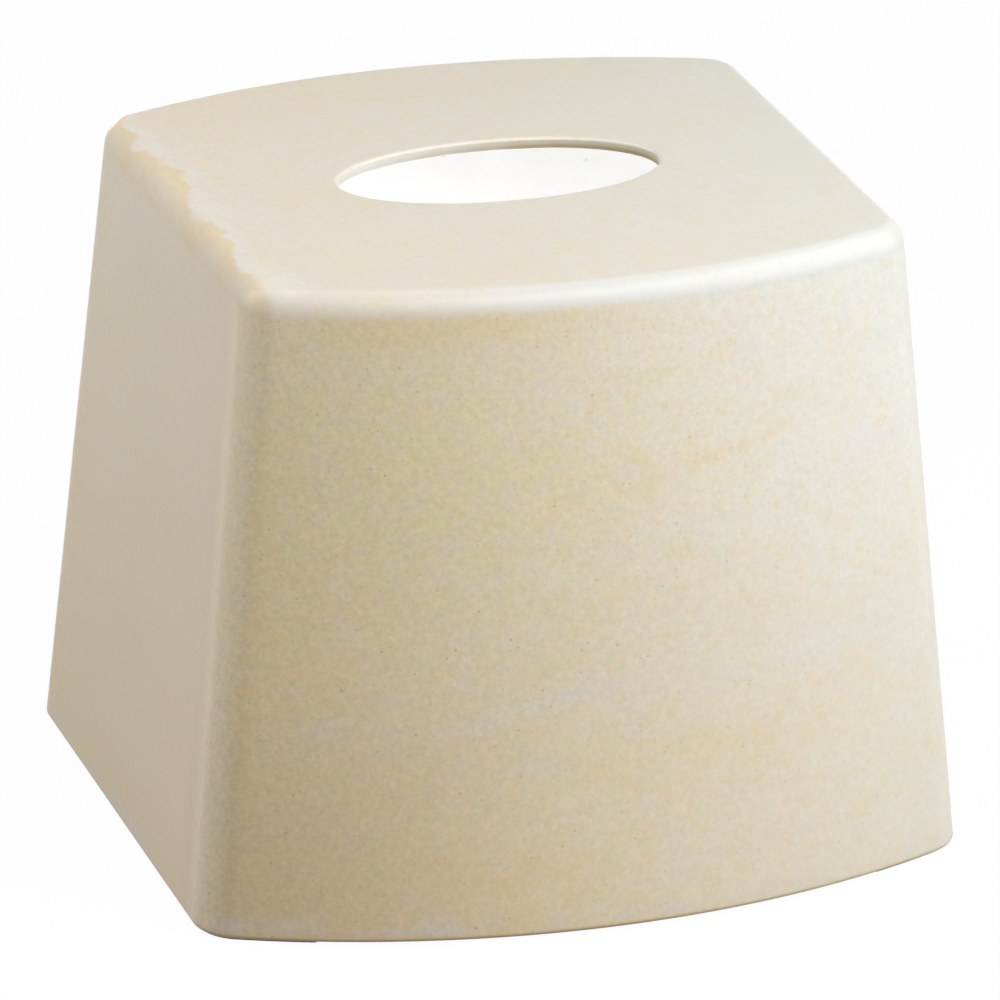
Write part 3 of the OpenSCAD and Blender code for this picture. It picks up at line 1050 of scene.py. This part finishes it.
RAW_PALE = srgb(243, 244, 245)
RAW_WARM = srgb(239, 238, 236)
PIT_BROWN = srgb(190, 178, 158)
RAW_CLOUD_SIZE, RAW_FINE_SIZE, PIT_CELL = mm(18, 1.4, 3.4)
RAW_CLOUD_AT, RAW_FINE_SHARE = (0.35, 0.7), 0.25
PIT_CHOSEN_AT, PIT_AT, PIT_SHARE = (0.8, 0.84), (0.16, 0.06), 0.4
RAW_ROUGH, RAW_ROUGH_RANGE = 0.65, 0.2
RAW_FINE_HEIGHT = 0.5
RAW_BUMP, RAW_BUMP_STRENGTH = 0.2 * MM, 0.7


def raw_casting():
    """Dull pale resin mix with cloudy patches and small air pits."""
    f = Finish("raw_casting")
    fine = f.clouds(RAW_FINE_SIZE, 3, 0.6)
    cloudy = f.step(f.clouds(RAW_CLOUD_SIZE, 3, 0.55), RAW_CLOUD_AT)
    colour = f.mix(cloudy, RAW_WARM, RAW_PALE)
    colour = f.mix(f.times(fine, RAW_FINE_SHARE), colour, RAW_WARM)
    far, chances = f.cells(PIT_CELL)
    pit = f.times(f.step(far, PIT_AT), f.step(chances[0], PIT_CHOSEN_AT))
    colour = f.mix(f.times(pit, PIT_SHARE), colour, PIT_BROWN)
    rough = f.scaled(fine, RAW_ROUGH_RANGE, RAW_ROUGH)
    height = f.maths("SUBTRACT", f.times(fine, RAW_FINE_HEIGHT), pit)
    return f.dress(colour, rough, height, RAW_BUMP, RAW_BUMP_STRENGTH)


# %% [markdown]
# ## The film of the pads
# The pads are cut from a matt rubber film, and show as a thin brownish line under the rim.
# So their finish is plain: a fine grain that dulls it, and two near tones for wear.

# %% The pads' finish
FILM_DARK = srgb(110, 92, 68)
FILM_PALE = srgb(127, 108, 82)
FILM_GRAIN_SIZE, FILM_WEAR_SIZE = mm(0.25, 4)
FILM_WEAR_AT = (0.35, 0.75)
FILM_ROUGH, FILM_ROUGH_RANGE = 0.75, 0.15
FILM_BUMP, FILM_BUMP_STRENGTH = 0.05 * MM, 0.8


def soft_film():
    """Brown-grey matt rubber film with a fine grain."""
    f = Finish("soft_pad_film")
    grain = f.clouds(FILM_GRAIN_SIZE, rough=0.6)
    colour = f.mix(f.step(f.clouds(FILM_WEAR_SIZE), FILM_WEAR_AT), FILM_DARK, FILM_PALE)
    rough = f.scaled(grain, FILM_ROUGH_RANGE, FILM_ROUGH)
    return f.dress(colour, rough, grain, FILM_BUMP, FILM_BUMP_STRENGTH)


# %% Give each surface its finish
shell.data.materials.append(sandstone())
shell.data.materials.append(raw_casting())
face_ring = np.repeat(np.arange(len(skin)), skin.shape[1])
face_finish = np.isin(stretch[face_ring], ["inside", "rim"]).astype(np.int32)
shell.data.polygons.foreach_set("material_index", face_finish)
film = soft_film()
for made in pads.values():
    made.data.materials.append(film)
print("finishes:", ", ".join(m.name for m in bpy.data.materials if m.users))

# %% [markdown]
# ## Replace the plain solids
# The new shell and pads replace the plain solids, which stay behind for the physics, and
# they ride on the part's one rigid body.

# %% Ride and replace
for made, node, slot in [(shell, "cover_shell", "cast_stone")] + [
    (made, node, "soft_pad") for node, made in pads.items()
]:
    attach(made, "root")
    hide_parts(node)

# %% [markdown]
# ## Floor and light
# A pale satin object needs large soft lights. They could stand far off, which lights a wall
# evenly, but here they stand close, like softboxes on a product table, so that each wall
# darkens a little towards its foot. A big softbox on the right shapes the bowed front, and a
# smaller one fills it from nearly straight ahead. Two panels behind on the left lift the end
# wall, a low one behind lights the back, and a weak one overhead fills the top. A small one
# under the cover lights its inside, so that the slot doesn't look black. The floor is two
# things at once: nearly white to the camera, with a faint shadow, and duller to the light
# that would bounce up from it.

# %% Helpers for the floor and the world


def grey(tone):
    """A grey as a shader's colour."""
    return (tone, tone, tone, 1)


def seen_rays(tree):
    """1 for rays from the camera and in reflections, and 0 for all others."""
    rays = add_node(tree, "ShaderNodeLightPath").outputs
    both = {0: rays["Is Camera Ray"], 1: rays["Is Glossy Ray"]}
    return add_node(tree, "ShaderNodeMath", both, operation="MAXIMUM").outputs[0]


def bare_tree(owner):
    """The empty node tree of a material or a world."""
    owner.use_nodes = True
    owner.node_tree.nodes.clear()
    return owner.node_tree


# %% The floor
FLOOR_HALF = 4.0
FLOOR_GAP = 0.02 * MM
FLOOR_TONE, FLOOR_SEEN_TONE = 0.32, 0.95
FLOOR_WHITE_SHARE = 0.96


def floor_finish():
    """Matt paint, duller to the light that bounces. For the rays that see the studio, most
    of it is plain white light."""
    material = bpy.data.materials.new("studio_floor")
    tree = bare_tree(material)
    seen = seen_rays(tree)
    tone = mix_tones(tree, seen, grey(FLOOR_TONE), grey(FLOOR_SEEN_TONE))
    paint = add_node(tree, "ShaderNodeBsdfDiffuse", {"Color": tone})
    white = add_node(tree, "ShaderNodeEmission", {"Strength": 1.0})
    share = add_node(tree, "ShaderNodeMath", {0: seen, 1: FLOOR_WHITE_SHARE}, operation="MULTIPLY")
    sockets = {0: share.outputs[0], 1: paint.outputs[0], 2: white.outputs[0]}
    mixed = add_node(tree, "ShaderNodeMixShader", sockets)
    add_node(tree, "ShaderNodeOutputMaterial", {"Surface": mixed.outputs[0]})
    return material


def make_floor():
    """A large plane just under the pads."""
    low = CAD_BOX[0][2] - FLOOR_GAP
    a = FLOOR_HALF
    mesh = bpy.data.meshes.new("studio_floor")
    corners = [(-a, -a, low), (a, -a, low), (a, a, low), (-a, a, low)]
    mesh.from_pydata(corners, [], [(0, 1, 2, 3)])
    mesh.materials.append(floor_finish())
    made = add_object("studio_floor", mesh)
    return made


floor = make_floor()
print("floor in mm under the pads:", round(FLOOR_GAP / MM, 3))

# %% The lamps
AIM = Vector((0, 0, 0.06))
SOFTBOXES = [
    # name, azimuth and elevation in degrees, distance and two sizes in metres, and watts
    ("key_softbox", 51, 31, 0.75, 0.85, 0.70, 5.25),
    ("front_softbox", 5, 42, 0.75, 0.48, 0.42, 2.28),
    ("overhead_panel", 0, 89, 0.70, 0.40, 0.40, 0.60),
    ("left_panel", -110, 20, 0.65, 0.35, 0.35, 0.97),
    ("back_panel", 172, 4, 0.75, 0.50, 0.16, 1.10),
    ("left_top_panel", -110, 45, 0.65, 0.35, 0.35, 1.20),
]
INNER_HEIGHT, INNER_SIZE, INNER_WATTS = 8 * MM, 60 * MM, 0.098


def make_lamp(name, place, facing, width, height, watts):
    """A panel of light at a place, turned so that its back looks along a direction. The
    camera doesn't see it."""
    data = bpy.data.lights.new(name, "AREA")
    data.shape = "RECTANGLE"
    data.size, data.size_y = width, height
    data.energy = watts
    made = add_object(name, data)
    made.location = place
    made.rotation_euler = facing.to_track_quat("Z", "Y").to_euler()
    made.visible_camera = False
    return made


lamps = []
for name, azimuth, elevation, distance, width, height, watts in SOFTBOXES:
    back = direction(math.radians(azimuth), math.radians(elevation))
    lamps.append(make_lamp(name, AIM + back * distance, back, width, height, watts))
under_slot, down = Vector((0, 0, INNER_HEIGHT)), Vector((0, 0, -1))
lamps.append(make_lamp("inner_panel", under_slot, down, INNER_SIZE, INNER_SIZE, INNER_WATTS))
print("lamps:", ", ".join(lamp.name for lamp in lamps))

# %% The world


def make_world():
    """White where the camera and reflections look, and no light at all otherwise."""
    world = bpy.data.worlds.new("studio_world")
    bpy.context.scene.world = world
    tree = bare_tree(world)
    tone = mix_tones(tree, seen_rays(tree), grey(0.0), grey(1.0))
    background = add_node(tree, "ShaderNodeBackground", {"Color": tone})
    add_node(tree, "ShaderNodeOutputWorld", {"Surface": background.outputs[0]})
    return world


print("world:", make_world().name)
bpy.context.scene.view_settings.view_transform = "Standard"

# %% [markdown]
# ## Bring the scene up to date
# The dressed object has to stay inside the measured one. The last step brings the scene up
# to date.

# %% Bring the scene up to date
bpy.context.view_layer.update()
